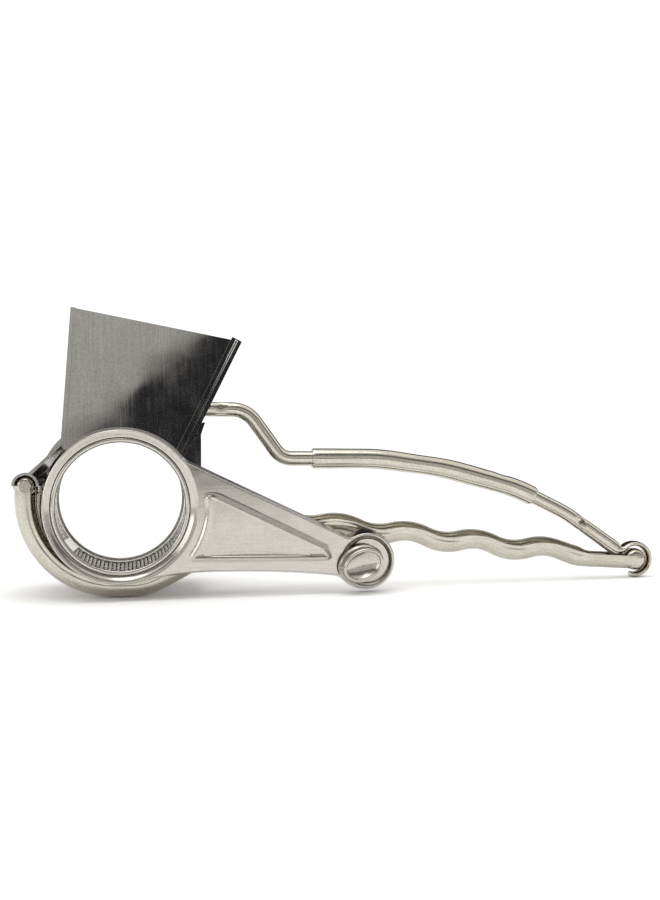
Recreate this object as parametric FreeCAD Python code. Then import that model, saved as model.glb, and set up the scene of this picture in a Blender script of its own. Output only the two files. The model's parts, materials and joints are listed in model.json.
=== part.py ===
import FreeCAD, Part
import math
import os

# Rotary drum grater in stainless sheet and tube, in millimetres.
# While it is designed, X runs along the handle, Y runs along the drum away from the crank, Z is up,
# and the drum's axis passes through X = 0, Z = 0 with the crank's front plane at Y = 0.

# Drum and crank
DRUM_R = 23.0            # outside of the drum shell
DRUM_WALL = 0.5
DRUM_LENGTH = 58.0
DRUM_NEAR = 1.3          # near end of the shell, behind the rolled lip
LAP_Y = (8.0, 54.0)      # stretch of the drum's lapped seam
LAP_START = 212.0
LAP_SWEEP = 14.0
LIP_ROLL_R = 0.75
LIP_Y = 1.7              # middle of the rolled lip
FIT = 0.05               # play of pieces pressed together, and overlap of welded ones
MOUTH_R = 20.0           # clear radius inside the rolled lip
RING_R = 24.9            # outside of the crank's ring
CRANK_SHEET = 0.8
CRANK_FLANGE = 5.0       # depth of the edge turned back round the crank
CRANK_END = (78.0, -19.5)
CRANK_END_R = 9.8
KNOB = (75.4, -20.2)
KNOB_SEMI = (7.5, 5.9)   # half length and half width of the oval knob
KNOB_TILT = 22.0
KNOB_FRONT = -7.0
KNOB_BACK = -1.1
KNOB_WALL = 0.8
STUD_HEAD_Y = (-3.6, -2.6)
STUD_HEAD_R = 3.3
PEEN_R = 3.0
PEEN_END = 1.6
WASHER_R = 4.2
STUD_R = 2.0

# Hopper
SHEET = 0.8
NEAR_Y = 7.0             # outer face of the cheek beside the crank
FAR_Y = 52.0             # outer face of the far cheek
RUNNING_GAP = 0.10       # radial play of the drum in the two cheeks
CHEEK_RING_R = 24.6
FOOT_R = 29.7            # round foot of the far cheek
HOPPER_TOP_LEFT = (-16.0, 62.3)
HOPPER_TOP_RIGHT = (37.9, 52.7)
HOPPER_LOW_RIGHT = (20.4, 16.3)
HOPPER_LOW_LEFT = (-18.7, 19.4)
HEM = (-29.7, 5.9)       # axis of the rolled hem that the handle hooks into
HEM_R = 4.25
TIE = (26.0, -15.9)      # tie rod that pins the handle between the cheeks
PIN_R = 1.98             # tie rod, and near end of the hem's rod
PIN_HOLE_R = 2.02        # their holes in the handle
TIE_HEAD_R = 3.2
TIE_HEAD = 0.88
LUG_R = 4.5
HEM_NEAR = 9.6           # near end of the hem
HEM_NOTCH_END = 17.2     # the hem is cut open below, up to here, for the handle

# Handle
TUBE_R = 3.5
TUBE_WALL = 0.8
TUBE_Y = 13.0
CRADLE_R = 28.2          # centre line of the handle where it goes round the drum
CRADLE = (-1.5, 2.0)
GRIP_PITCH = 23.6        # from one finger recess to the next
GRIP_SWING = 2.28        # height of the grip's corner points over its slope
GRIP_FIRST = 60.0
GRIP_SLOPE = -0.118
GRIP_LEVEL = 1.39        # height of the grip's slope at the drum's axis
GRIP_BEND_R = 15.4
HANDLE_SLOT = (34.0, 288.3)
HINGE = (175.1, -18.6)
KNUCKLE_R = 3.8

# Lever
LEVER_R = 2.4
LEVER_WALL = 0.6
LEVER_Y = 12.9
HOOK_OUT = 6.3
HOOK_IN = 4.75
SLEEVE_OUT = 3.4
SLEEVE_IN = 2.5
LEVER_SLOT = 160.0       # metal reaches this far round the tube from its top, on both sides
HOOK_WEB = 0.8
HOOK_LIP = 0.7
HOOK_HALF = 3.0
HOOK_SHIFT = 0.4         # from the lever's plane to the hook's

# Pusher
PUSHER_GAP = 1.5         # between the drum and the closed pusher
PUSHER_SHEET = 1.0
PUSHER_Y = (9.6, 48.5)
RIVET_X = (1.0, 13.0)
RIVET_R = 1.25
RIVET_HOLE_R = 1.3
RIVET_HEAD_R = 1.9
BRACKET_TOP = 28.55

# The whole grater settles by this angle about the drum until the hinge end rests on the table.
SETTLE = 1.6
# Middle of the overall length, middle of the overall width and the table's height.
ORIGIN = (73.52, 25.65, -29.79)

Y_AXIS = FreeCAD.Vector(0, 1, 0)


def point(x, z, y=0.0):
    return FreeCAD.Vector(x, y, z)


def rod(centre, radius, y0, y1):
    """Solid cylinder along Y."""
    return Part.makeCylinder(radius, y1 - y0, point(centre[0], centre[1], y0), Y_AXIS)


def ring(centre, outer, inner, y0, y1):
    return rod(centre, outer, y0, y1).cut(rod(centre, inner, y0 - 1, y1 + 1))


def plate(face, y0, y1):
    """Face in the Y = 0 plane made a plate from y0 to y1."""
    solid = face.extrude(FreeCAD.Vector(0, y1 - y0, 0))
    solid.translate(FreeCAD.Vector(0, y0, 0))
    return solid


def polygon(points):
    corners = [point(x, z) for x, z in points]
    return Part.Face(Part.makePolygon(corners + corners[:1]))


def disc(centre, radius):
    circle = Part.Circle(point(*centre), Y_AXIS, radius)
    return Part.Face(Part.Wire([circle.toShape()]))


def joined_plate(faces, y0, y1):
    """Overlapping faces made one plate."""
    solids = [plate(face, y0, y1) for face in faces]
    return solids[0].fuse(solids[1:]).removeSplitter()


def inset(face, distance):
    return face.makeOffset2D(-distance).Faces[0]


def turned(profile, centre=(0.0, 0.0), start=0.0, sweep=360.0):
    """Profile of (radius, y) points turned about a Y axis; angles run from +X towards +Z."""
    corners = [point(centre[0] + r, centre[1], y) for r, y in profile]
    face = Part.Face(Part.makePolygon(corners + corners[:1]))
    face.rotate(point(*centre), Y_AXIS, -start)
    return face.revolve(point(*centre), Y_AXIS, -sweep)


def rounded_path(points, y):
    """Straight runs joined by tangent arcs; each inner point is (x, z, radius)."""
    corners = [point(p[0], p[1], y) for p in points]
    edges = []
    last = corners[0]
    for i in range(1, len(points) - 1):
        back = (corners[i - 1] - corners[i]).normalize()
        ahead = (corners[i + 1] - corners[i]).normalize()
        half = back.getAngle(ahead) / 2
        reach = points[i][2] / math.tan(half)
        middle = (back + ahead).normalize()
        centre = corners[i] + middle * (points[i][2] / math.sin(half))
        first = corners[i] + back * reach
        second = corners[i] + ahead * reach
        if (first - last).Length > 0.01:
            edges.append(Part.LineSegment(last, first).toShape())
        edges.append(Part.Arc(first, centre - middle * points[i][2], second).toShape())
        last = second
    edges.append(Part.LineSegment(last, corners[-1]).toShape())
    return Part.Wire(edges)


def around(radius, degrees):
    """Point of a tube's section in its own plane, at an angle from the top towards +Y."""
    a = math.radians(degrees)
    return FreeCAD.Vector(0, radius * math.sin(a), radius * math.cos(a))


def open_tube_section(radius, wall, start, end):
    """Section of a slotted tube: metal from start to end, with rounded lips."""
    inner = radius - wall
    middle = radius - wall / 2
    tip = math.degrees(wall / 2 / middle)
    edges = [
        Part.Arc(around(radius, start), around(radius, (start + end) / 2), around(radius, end)),
        Part.Arc(around(radius, end), around(middle, end + tip), around(inner, end)),
        Part.Arc(around(inner, end), around(inner, (start + end) / 2), around(inner, start)),
        Part.Arc(around(inner, start), around(middle, start - tip), around(radius, start)),
    ]
    return Part.Wire([edge.toShape() for edge in edges])


def round_section(radius):
    circle = Part.Circle(FreeCAD.Vector(0, 0, 0), FreeCAD.Vector(1, 0, 0), radius)
    return Part.Wire([circle.toShape()])


def swept(section, path):
    """Section carried along a path that lies in one upright plane."""
    first = path.OrderedEdges[0]
    begin = path.OrderedVertexes[0].Point
    tangent = first.tangentAt(first.FirstParameter)
    if (first.valueAt(first.FirstParameter) - begin).Length > 0.001:
        tangent = first.tangentAt(first.LastParameter) * -1
    placed = section.copy()
    placed.rotate(FreeCAD.Vector(0, 0, 0), Y_AXIS, -math.degrees(math.atan2(tangent.z, tangent.x)))
    placed.translate(begin)
    pipe = Part.BRepOffsetAPI.MakePipeShell(path)
    pipe.setBiNormalMode(Y_AXIS)
    pipe.setTransitionMode(0)
    pipe.add(placed)
    pipe.build()
    pipe.makeSolid()
    return pipe.shape()


# ---- drum and crank ----

def drum_shell():
    """Thin drum with a lapped seam inside, low on the left."""
    inner = DRUM_R - DRUM_WALL
    shell = turned([(inner, DRUM_NEAR), (DRUM_R, DRUM_NEAR), (DRUM_R, DRUM_LENGTH), (inner, DRUM_LENGTH)])
    y0, y1 = LAP_Y
    lap = turned([(inner - DRUM_WALL, y0), (inner + FIT, y0), (inner + FIT, y1), (inner - DRUM_WALL, y1)],
                 start=LAP_START, sweep=LAP_SWEEP)
    return shell.fuse(lap).removeSplitter()


def drum_lip():
    """Rolled lip at the drum's mouth, with the skirt that is pressed into the shell."""
    bead = Part.makeTorus(MOUTH_R + LIP_ROLL_R, LIP_ROLL_R, point(0, 0, LIP_Y), Y_AXIS)
    root = MOUTH_R + 0.8
    out = DRUM_R - DRUM_WALL - FIT
    inner = out - 0.6
    end = 7.0
    skirt = turned([(root, 1.9), (out, 2.3), (out, end), (inner, end), (inner, 2.9), (root, 2.45)])
    return bead.fuse(skirt)


def far_rim():
    """Stiffening band inside the far end of the drum."""
    out = DRUM_R - DRUM_WALL - FIT
    inner = out - 0.9
    y0, y1 = DRUM_LENGTH - 3.0, DRUM_LENGTH + 0.3
    return turned([(out, y0), (out, y1), (inner, y1), (inner, y0)])


def arm_outline(shrink):
    """Crank's outline, smaller all round by shrink: ring, arm with an arched lower edge, round end."""
    upper = [(19.8 - 0.444 * shrink, 14.7 - 0.896 * shrink), (72.6 - 0.444 * shrink, -11.5 - 0.896 * shrink)]
    low_left = point(4.5, -24.4 + shrink)
    crown = point(30.0, -21.9 + shrink)
    low_right = point(67.9, -24.5 + shrink)
    edges = [
        Part.Arc(low_left, point(16.1, -22.4 + shrink), crown).toShape(),
        Part.Arc(crown, point(48.0, -22.6 + shrink), low_right).toShape(),
        Part.makePolygon([low_right, point(74.0, -26.0), point(*upper[1]), point(*upper[0]), low_left]),
    ]
    arm = Part.Face(Part.Wire([edge for part in edges for edge in part.Edges]))
    return [disc((0, 0), RING_R - shrink), arm, disc(CRANK_END, CRANK_END_R - shrink)]


def panel_outline():
    """Raised three-cornered panel on the arm, its left side concentric with the ring."""
    return polygon([(27.4, 5.6), (26.4, -2.6), (20.6, -16.6), (64.8, -18.6), (65.4, -13.6)])


def crank_arm():
    """Pressed crank plate with its edge turned back and a dished ring round the drum's mouth."""
    blank = joined_plate(arm_outline(0), 0, CRANK_FLANGE)
    hollow = joined_plate(arm_outline(CRANK_SHEET), CRANK_SHEET, CRANK_FLANGE + 1)
    tray = blank.cut(hollow)
    tray = tray.cut(rod((0, 0), RING_R - 0.9, -1, CRANK_SHEET + 0.01))
    dish = turned([
        (RING_R - 0.85, 0), (RING_R - 0.85, CRANK_SHEET),
        (MOUTH_R + 1.7, 1.6), (MOUTH_R + 1.7, 0.8),
    ])
    panel = plate(inset(panel_outline(), 0.5), -0.5, 0.05)
    panel = panel.makeFillet(0.4, [e for e in panel.Edges if e.BoundBox.YMax < -0.4])
    crank = tray.fuse([dish, panel])
    crank = crank.cut(rod((0, 0), DRUM_R + 0.05, 1.25, CRANK_FLANGE))
    return crank.cut(rod(KNOB, STUD_R, -1, 2)).removeSplitter()


def knob_stud():
    """Stud through the crank's end; its inner head keeps the knob on."""
    y0, y1 = STUD_HEAD_Y
    shank = rod(KNOB, STUD_R - 0.02, y1, CRANK_SHEET)
    head = rod(KNOB, STUD_HEAD_R, y0, y1)
    peened = rod(KNOB, PEEN_R, CRANK_SHEET, PEEN_END)
    return shank.fuse([head, peened])


def stud_washer():
    return ring(KNOB, WASHER_R, STUD_R + FIT, -0.75, -FIT)


def oval(shrink):
    """Knob's oval outline, smaller all round by shrink."""
    ellipse = Part.Ellipse(point(0, 0), KNOB_SEMI[0] - shrink, KNOB_SEMI[1] - shrink)
    face = Part.Face(Part.Wire([ellipse.toShape()]))
    face.rotate(point(0, 0), FreeCAD.Vector(1, 0, 0), 90)
    face.rotate(point(0, 0), Y_AXIS, -KNOB_TILT)
    face.translate(point(*KNOB))
    return face


def knob_cup():
    """Hollow oval knob with a dished front."""
    rim = 1.9
    dish = 1.1
    body = plate(oval(0), KNOB_FRONT, KNOB_BACK)
    body = body.makeFillet(1.0, [e for e in body.Edges if e.BoundBox.YMax < KNOB_FRONT + 0.1])
    body = body.cut(plate(oval(rim), KNOB_FRONT - 1, KNOB_FRONT + dish))
    return body.cut(plate(oval(KNOB_WALL), KNOB_FRONT + 2.0, 0))


def knob_back():
    """Disc that closes the knob behind the stud's head and turns on the stud."""
    closing = plate(oval(KNOB_WALL + FIT), -2.2, KNOB_BACK)
    return closing.cut(rod(KNOB, STUD_R + FIT, -5, 1))


# ---- hopper ----

def cheek(y0, ring_r):
    """Hopper cheek: flaring plate over the drum, running into a ring round it, with a lug."""
    panel = polygon([HOPPER_TOP_LEFT, HOPPER_TOP_RIGHT, HOPPER_LOW_RIGHT, (10, 0), (-10, 0), HOPPER_LOW_LEFT])
    lug = disc(TIE, LUG_R)
    neck = polygon([(14, -16), (TIE[0] - 1, TIE[1] - 4), (TIE[0] + 2, TIE[1] + 4), (20, -6)])
    sheet = joined_plate([panel, disc((0, 0), ring_r), neck, lug], y0, y0 + SHEET)
    sheet = sheet.cut(rod((0, 0), DRUM_R + RUNNING_GAP, y0 - 1, y0 + 2))
    return sheet.cut(rod(TIE, 2.0, y0 - 1, y0 + 2))


def edge_hem(top, low, width, y0, y1):
    """Folded edge along one slanting side of a cheek; positive width lies to the left."""
    run = point(low[0] - top[0], low[1] - top[1]).normalize()
    across = point(run.z, -run.x) * width
    beside_low = (low[0] + across.x, low[1] + across.z)
    beside_top = (top[0] + across.x, top[1] + across.z)
    return plate(polygon([top, low, beside_low, beside_top]), y0, y1)


def near_cheek():
    """Cheek beside the crank, with a wide folded edge on the right and a narrow one on the left."""
    sheet = cheek(NEAR_Y, CHEEK_RING_R)
    right = edge_hem(HOPPER_TOP_RIGHT, HOPPER_LOW_RIGHT, 3.4, NEAR_Y - 0.5, NEAR_Y + 0.01)
    groove = edge_hem((36.4, 53.0), (18.9, 16.6), 0.35, NEAR_Y - 0.6, NEAR_Y - 0.15)
    left = edge_hem(HOPPER_TOP_LEFT, HOPPER_LOW_LEFT, -1.5, NEAR_Y - 0.5, NEAR_Y + 0.01)
    sheet = sheet.fuse([right.cut(groove), left])
    return sheet.cut(rod((0, 0), DRUM_R + RUNNING_GAP, 5, 9)).removeSplitter()


def far_cheek():
    """Far cheek, with an upright flange on the right and a round foot under the drum."""
    sheet = cheek(FAR_Y - SHEET, FOOT_R)
    flange = plate(polygon([(24.0, 27.0), (29.4, 27.2), (28.0, 22.8), (28.2, 9.0), (21.0, 9.0)]),
                   FAR_Y - SHEET, FAR_Y)
    sheet = sheet.fuse(flange)
    return sheet.cut(rod((0, 0), DRUM_R + RUNNING_GAP, FAR_Y - 2, FAR_Y + 1)).removeSplitter()


def left_wall():
    """Back wall of the hopper, swept down round the drum and rolled into a hem."""
    inside = (HOPPER_TOP_LEFT[0] + SHEET, HOPPER_TOP_LEFT[1] - 0.2)
    reach = (HEM[0] + 1.0, HEM[1] + HEM_R - 0.1)
    wall = polygon([HOPPER_TOP_LEFT, inside, (HOPPER_LOW_LEFT[0] + SHEET, HOPPER_LOW_LEFT[1]),
                    (reach[0] + SHEET, reach[1] - SHEET), reach, HOPPER_LOW_LEFT])
    sheet = plate(wall, NEAR_Y + SHEET + FIT, FAR_Y - SHEET - FIT)
    hem = ring(HEM, HEM_R, HEM_R - SHEET, HEM_NEAR, FAR_Y + 2.0)
    notch = plate(polygon([(HEM[0] - 6, HEM[1]), (HEM[0] + 6, HEM[1]),
                           (HEM[0] + 6, HEM[1] - 9), (HEM[0] - 6, HEM[1] - 9)]), 8, HEM_NOTCH_END)
    hem = hem.cut(notch)
    sheet = sheet.cut(rod(HEM, HEM_R - 0.1, 0, 60))
    clear_cheek = plate(disc((0, 0), FOOT_R + 0.1), FAR_Y - SHEET - 0.1, FAR_Y + 0.1)
    return sheet.fuse(hem.cut(clear_cheek)).removeSplitter()


def hem_rod():
    """Rod inside the hem, up to the far cheek; its thinner near end passes through the handle's knuckle."""
    step = HEM_NOTCH_END + 0.2
    thick = rod(HEM, HEM_R - SHEET - 0.1, step, FAR_Y - SHEET - 0.1)
    return thick.fuse(rod(HEM, PIN_R, HEM_NEAR - 0.4, step + 0.1))


def right_wall():
    """Low front wall of the hopper that leaves room for the lever over it."""
    high = 9.5
    slant = 0.3
    (top_x, top_z), (low_x, low_z) = HOPPER_TOP_RIGHT, HOPPER_LOW_RIGHT
    foot = (low_x - 1.2, low_z - slant)
    run = point(top_x - low_x, top_z - low_z).normalize()
    head = (foot[0] + run.x * high, foot[1] + run.z * high)
    wall = polygon([foot, head, (head[0] - SHEET, head[1] + slant), (foot[0] - SHEET, foot[1] + slant)])
    return plate(wall, NEAR_Y + SHEET + FIT, FAR_Y - SHEET - FIT)


def tie_rod():
    """Riveted rod that holds the two cheeks apart and pins the handle."""
    clear = 0.02
    shank = rod(TIE, PIN_R, NEAR_Y - 0.1, FAR_Y + 0.1)
    near_head = rod(TIE, TIE_HEAD_R, NEAR_Y - clear - TIE_HEAD, NEAR_Y - clear)
    far_head = rod(TIE, TIE_HEAD_R, FAR_Y + clear, FAR_Y + clear + TIE_HEAD)
    return shank.fuse([near_head, far_head])


# ---- handle ----

def handle_path():
    """Centre line: down from the hem, round under the drum, then the finger grip and the hinge."""
    under = CRADLE[1] - CRADLE_R
    points = [HEM, (HEM[0], under, CRADLE_R), (8.5, under, 20.0), (50.5, -3.0, 9.0)]
    for i in range(8):
        x = GRIP_FIRST + i * GRIP_PITCH / 2
        swing = GRIP_SWING if i % 2 else -GRIP_SWING
        points.append((x, GRIP_LEVEL + GRIP_SLOPE * x + swing, GRIP_BEND_R))
    points.append((GRIP_FIRST + 4 * GRIP_PITCH, -17.6, 15.0))
    points.append(HINGE)
    return rounded_path(points, TUBE_Y)


def knuckle(centre, radius, y0, y1):
    """Rounded end of the handle."""
    body = rod(centre, radius, y0, y1)
    return body.makeFillet(1.1, body.Edges)


def grip_handle():
    """Slotted tube whose slot looks up and a little towards the crank, with a knuckle at each end."""
    tube = swept(open_tube_section(TUBE_R, TUBE_WALL, *HANDLE_SLOT), handle_path())
    low, high = TUBE_Y - TUBE_R, TUBE_Y + TUBE_R
    lever_slot = Part.makeBox(13.0, 6.0, 6.0, FreeCAD.Vector(159.5, TUBE_Y - 1.5, -17.2))
    tube = tube.cut(lever_slot)
    tube = tube.cut(rod(HEM, HEM_R + 0.15, low - 1, high + 1))
    hem_end = knuckle(HEM, HEM_R - SHEET - 0.15, low, high)
    neck = rod((HEM[0], HEM[1] - 3.0), 2.6, low + 1.0, high - 1.0)
    handle = tube.fuse([hem_end, neck, knuckle(HINGE, KNUCKLE_R, low - 0.2, high + 0.2)])
    handle = handle.cut(rod(HEM, PIN_HOLE_R, 0, 30))
    return handle.cut(rod(TIE, PIN_HOLE_R, 0, 30)).removeSplitter()


# ---- lever ----

LEVER_RUN = [
    (84.0, 15.4, 80.0), (107.0, 12.4, 80.0), (132.0, 5.9, 60.0),
]


def lever_path():
    """Centre line: flat over the drum, down past the hopper, then a long falling curve."""
    points = [(-6.0, 31.0), (40.2, 31.0, 9.0), (51.9, 15.2, 6.0)]
    points += LEVER_RUN
    points += [(150.0, -2.6, 50.0), (170.5, -16.4)]
    return rounded_path(points, LEVER_Y)


def lever_arm():
    """Slotted tube bent to shape, ending in a hook round the handle's knuckle."""
    section = open_tube_section(LEVER_R, LEVER_WALL, -LEVER_SLOT, LEVER_SLOT)
    tube = swept(section, lever_path()).cut(rod(HINGE, HOOK_IN, 0, 30))
    web = HOOK_OUT - HOOK_WEB
    y0, y1 = LEVER_Y + HOOK_SHIFT - HOOK_HALF, LEVER_Y + HOOK_SHIFT + HOOK_HALF
    hook = turned([
        (HOOK_IN, y0), (HOOK_OUT, y0), (HOOK_OUT, y1), (HOOK_IN, y1),
        (HOOK_IN, y1 - HOOK_LIP), (web, y1 - HOOK_LIP), (web, y0 + HOOK_LIP), (HOOK_IN, y0 + HOOK_LIP),
    ], HINGE, start=-108.0, sweep=262.0)
    arm = tube.fuse(hook)
    for x in RIVET_X:
        arm = arm.cut(Part.makeCylinder(RIVET_HOLE_R, 10, FreeCAD.Vector(x, LEVER_Y, 26)))
    return arm.removeSplitter()


def lever_sleeve():
    """Plain round cover over the part of the lever that the palm presses."""
    ends = [(62.0, 15.24)] + LEVER_RUN + [(138.4, 2.88)]
    path = rounded_path(ends, LEVER_Y)
    return swept(round_section(SLEEVE_OUT), path).cut(swept(round_section(SLEEVE_IN), path))


# ---- pusher ----

def pusher_plate():
    """Saddle concentric with the drum that presses the food on it."""
    inner = DRUM_R + PUSHER_GAP
    y0, y1 = PUSHER_Y
    return turned([(inner, y0), (inner + PUSHER_SHEET, y0), (inner + PUSHER_SHEET, y1), (inner, y1)],
                  start=54.0, sweep=73.0)


def pusher_bracket():
    """Folded bracket that carries the saddle under the lever."""
    y0, y1 = PUSHER_Y[0] + 0.3, PUSHER_Y[1] - 0.3
    left, right, foot = -10, 17, 12
    top = BRACKET_TOP
    outer = plate(polygon([(left, foot), (left, top), (right, top), (right, foot)]), y0, y1)
    left, right, foot, top = left + PUSHER_SHEET, right - PUSHER_SHEET, foot - 2, top - PUSHER_SHEET
    hollow = plate(polygon([(left, foot), (left, top), (right, top), (right, foot)]), y0 - 1, y1 + 1)
    saddle = DRUM_R + PUSHER_GAP + PUSHER_SHEET
    bracket = outer.cut(hollow).cut(rod((0, 0), saddle + 0.02, y0 - 2, y1 + 2))
    for x in RIVET_X:
        bracket = bracket.cut(Part.makeCylinder(RIVET_HOLE_R, 10, FreeCAD.Vector(x, LEVER_Y, 22)))
    return bracket


def pusher_rivets():
    """Two rivets through the lever and the bracket's top."""
    rivets = []
    for x in RIVET_X:
        shank = Part.makeCylinder(RIVET_R, 6.6, FreeCAD.Vector(x, LEVER_Y, 27.0))
        head = Part.makeCylinder(RIVET_HEAD_R, 0.8, FreeCAD.Vector(x, LEVER_Y, 33.42))
        tail = Part.makeCylinder(RIVET_HEAD_R, 0.6, FreeCAD.Vector(x, LEVER_Y, 26.93))
        rivets.append(shank.fuse([head, tail]))
    return Part.makeCompound(rivets)


SETTLED = {
    "grip_handle": grip_handle,
    "near_cheek": near_cheek,
    "far_cheek": far_cheek,
    "left_wall": left_wall,
    "right_wall": right_wall,
    "hem_rod": hem_rod,
    "tie_rod": tie_rod,
    "lever_arm": lever_arm,
    "lever_sleeve": lever_sleeve,
    "pusher_plate": pusher_plate,
    "pusher_bracket": pusher_bracket,
    "pusher_rivets": pusher_rivets,
}
TURNING = {
    "drum_shell": drum_shell,
    "drum_lip": drum_lip,
    "drum_far_rim": far_rim,
    "crank_arm": crank_arm,
    "knob_stud": knob_stud,
    "stud_washer": stud_washer,
    "knob_cup": knob_cup,
    "knob_back": knob_back,
}


def export(name, shape):
    shape.translate(FreeCAD.Vector(-ORIGIN[0], -ORIGIN[1], -ORIGIN[2]))
    shape.exportStep(os.path.join("parts", name + ".step"))


os.makedirs("parts", exist_ok=True)
for name, make in SETTLED.items():
    shape = make()
    shape.rotate(FreeCAD.Vector(0, 0, 0), Y_AXIS, SETTLE)
    export(name, shape)
for name, make in TURNING.items():
    export(name, make())
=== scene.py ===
import json
import math

import bmesh
import bpy
import numpy as np
from mathutils import Matrix, Vector


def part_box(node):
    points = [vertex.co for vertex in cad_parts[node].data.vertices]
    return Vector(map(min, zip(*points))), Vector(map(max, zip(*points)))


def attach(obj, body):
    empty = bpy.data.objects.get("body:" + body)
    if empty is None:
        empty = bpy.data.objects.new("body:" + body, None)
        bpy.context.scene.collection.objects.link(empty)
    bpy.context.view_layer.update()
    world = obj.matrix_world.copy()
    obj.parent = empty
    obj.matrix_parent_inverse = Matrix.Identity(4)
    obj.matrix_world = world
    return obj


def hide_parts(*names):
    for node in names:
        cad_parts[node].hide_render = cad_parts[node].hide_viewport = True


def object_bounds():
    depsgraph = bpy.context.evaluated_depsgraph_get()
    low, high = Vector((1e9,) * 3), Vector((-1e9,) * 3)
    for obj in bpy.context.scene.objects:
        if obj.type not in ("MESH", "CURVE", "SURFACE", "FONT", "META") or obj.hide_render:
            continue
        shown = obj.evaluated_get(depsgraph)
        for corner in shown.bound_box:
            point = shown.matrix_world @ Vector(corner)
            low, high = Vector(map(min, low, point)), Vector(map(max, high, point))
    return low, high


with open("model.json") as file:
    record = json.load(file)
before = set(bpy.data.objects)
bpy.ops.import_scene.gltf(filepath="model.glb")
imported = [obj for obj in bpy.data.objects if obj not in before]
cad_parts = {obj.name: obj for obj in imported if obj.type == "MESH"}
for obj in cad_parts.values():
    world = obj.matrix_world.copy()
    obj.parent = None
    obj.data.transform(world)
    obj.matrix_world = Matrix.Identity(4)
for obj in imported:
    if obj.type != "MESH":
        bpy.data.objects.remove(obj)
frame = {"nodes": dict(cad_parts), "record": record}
cad_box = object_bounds()

# Stainless rotary drum grater. Shapes are worked out in millimetres with the drum's axis at x = 0,
# z = 0 and the crank's front plane at y = 0; x runs along the handle, y away from the crank, z up.
MM = 0.001
SETTLE = math.radians(1.6)       # how far the frame and lever settle about the drum onto the table

DRUM_R = 23.0
DRUM_WALL = 0.5
DRUM_NEAR = 1.3                  # near end of the drum's shell
DRUM_FAR = 58.0
MOUTH_R = 20.0
PLATE_MOUTH_R = 21.7             # hole in the crank's dished ring
RING_R = 24.9
CRANK_SHEET = 0.8
CRANK_FLANGE = 5.0
CRANK_BEND = 0.5
CRANK_DRAFT = 0.8                # how much smaller the front is than the turned-back edge
CRANK_END = np.array([78.0, -19.5])
CRANK_END_R = 9.8

KNOB = np.array([75.4, -20.2])
KNOB_SEMI = np.array([7.5, 5.9])
KNOB_TILT = math.radians(22.0)

HEM = np.array([-29.7, 5.9])
CRADLE_R = 28.2
CRADLE_LOW = -26.2
GRIP_FIRST = 60.0
GRIP_PITCH = 23.6
GRIP_SWING = 2.28
GRIP_SLOPE = -0.118
HINGE = np.array([175.1, -18.6])
TUBE_R = 3.5
TUBE_WALL = 0.8
TUBE_Y = 13.0

LEVER_R = 2.4
LEVER_Y = 12.9
HOOK_Y = 13.1
HOOK_FROM = 135.0                # the hook runs clockwise round the knuckle between these angles
HOOK_TO = -97.0
HOOK_LINE_R = 5.35               # centre line of the hook round the knuckle
LEVER_RUN = [(84.0, 15.4, 80.0), (107.0, 12.4, 80.0), (132.0, 5.9, 60.0)]
SLEEVE_ENDS = ((62.0, 15.24), (138.4, 2.88))
SLEEVE_OUT = 3.4
SLEEVE_IN = 2.5
CRIMP_X = 31.4                   # where the lever's tube was pinched in bending
DENT_X = 154.7
SEAM = math.radians(-128.0)      # butt seam of the lever's tube, low on the side towards the crank

drum_low, drum_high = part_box("drum_shell")
AXIS = np.array([
    (drum_low.x + drum_high.x) / 2,
    drum_low.y - DRUM_NEAR * MM,
    (drum_low.z + drum_high.z) / 2,
])


# ---- geometry helpers ----

def row_frame(points, settled):
    """Millimetres about the drum to metres in the row frame; settled points first turn about its axis."""
    x, y, z = np.moveaxis(np.asarray(points, float), -1, 0)
    if settled:
        c, s = math.cos(SETTLE), math.sin(SETTLE)
        x, z = x * c + z * s, z * c - x * s
    return np.stack([x, y, z], -1) * MM + AXIS


def ease(t):
    """0 below 0, 1 above 1, and the cubic 3t^2 - 2t^3 between."""
    t = np.clip(t, 0.0, 1.0)
    return t * t * (3 - 2 * t)


def bump(t):
    """Bell curve of height 1 and width 1."""
    return np.exp(-t * t)


def arc(centre, radius, start, end, count):
    """Points on a circle from one angle to another, in degrees."""
    a = np.radians(np.linspace(start, end, count))
    return np.stack([centre[0] + radius * np.cos(a), centre[1] + radius * np.sin(a)], -1)


def arc_through(a, b, c, count):
    """Points along the circle through three points, from the first to the last."""
    a, b, c = (np.array(p, float) for p in (a, b, c))
    rows = 2 * np.array([b - a, c - a])
    centre = np.linalg.solve(rows, np.array([b @ b - a @ a, c @ c - a @ a]))
    first, last = (math.degrees(math.atan2(*(p - centre)[::-1])) for p in (a, c))
    return arc(centre, np.hypot(*(a - centre)), first, last, count)


def rounded(points):
    """Straight runs joined by tangent arcs; each inner point is (x, z, radius of its arc)."""
    line = [np.array(points[0][:2], float)[None]]
    for before, corner, after in zip(points, points[1:], points[2:]):
        at = np.array(corner[:2], float)
        back = np.array(before[:2]) - at
        ahead = np.array(after[:2]) - at
        back, ahead = back / np.hypot(*back), ahead / np.hypot(*ahead)
        half = math.acos(np.clip(back @ ahead, -1, 1)) / 2
        middle = (back + ahead) / np.hypot(*(back + ahead))
        centre = at + middle * corner[2] / math.sin(half)
        turn = np.linspace(-1, 1, 25) * (math.pi / 2 - half)
        side = back - middle * (back @ middle)
        side = -side / np.hypot(*side)
        line.append(centre + corner[2] * (np.outer(-np.cos(turn), middle) + np.outer(np.sin(turn), side)))
    line.append(np.array(points[-1][:2], float)[None])
    return np.concatenate(line)


def along(line):
    """Length along a line of points, at each point."""
    return np.concatenate([[0.0], np.cumsum(np.hypot(*np.diff(line, axis=0).T))])


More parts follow.
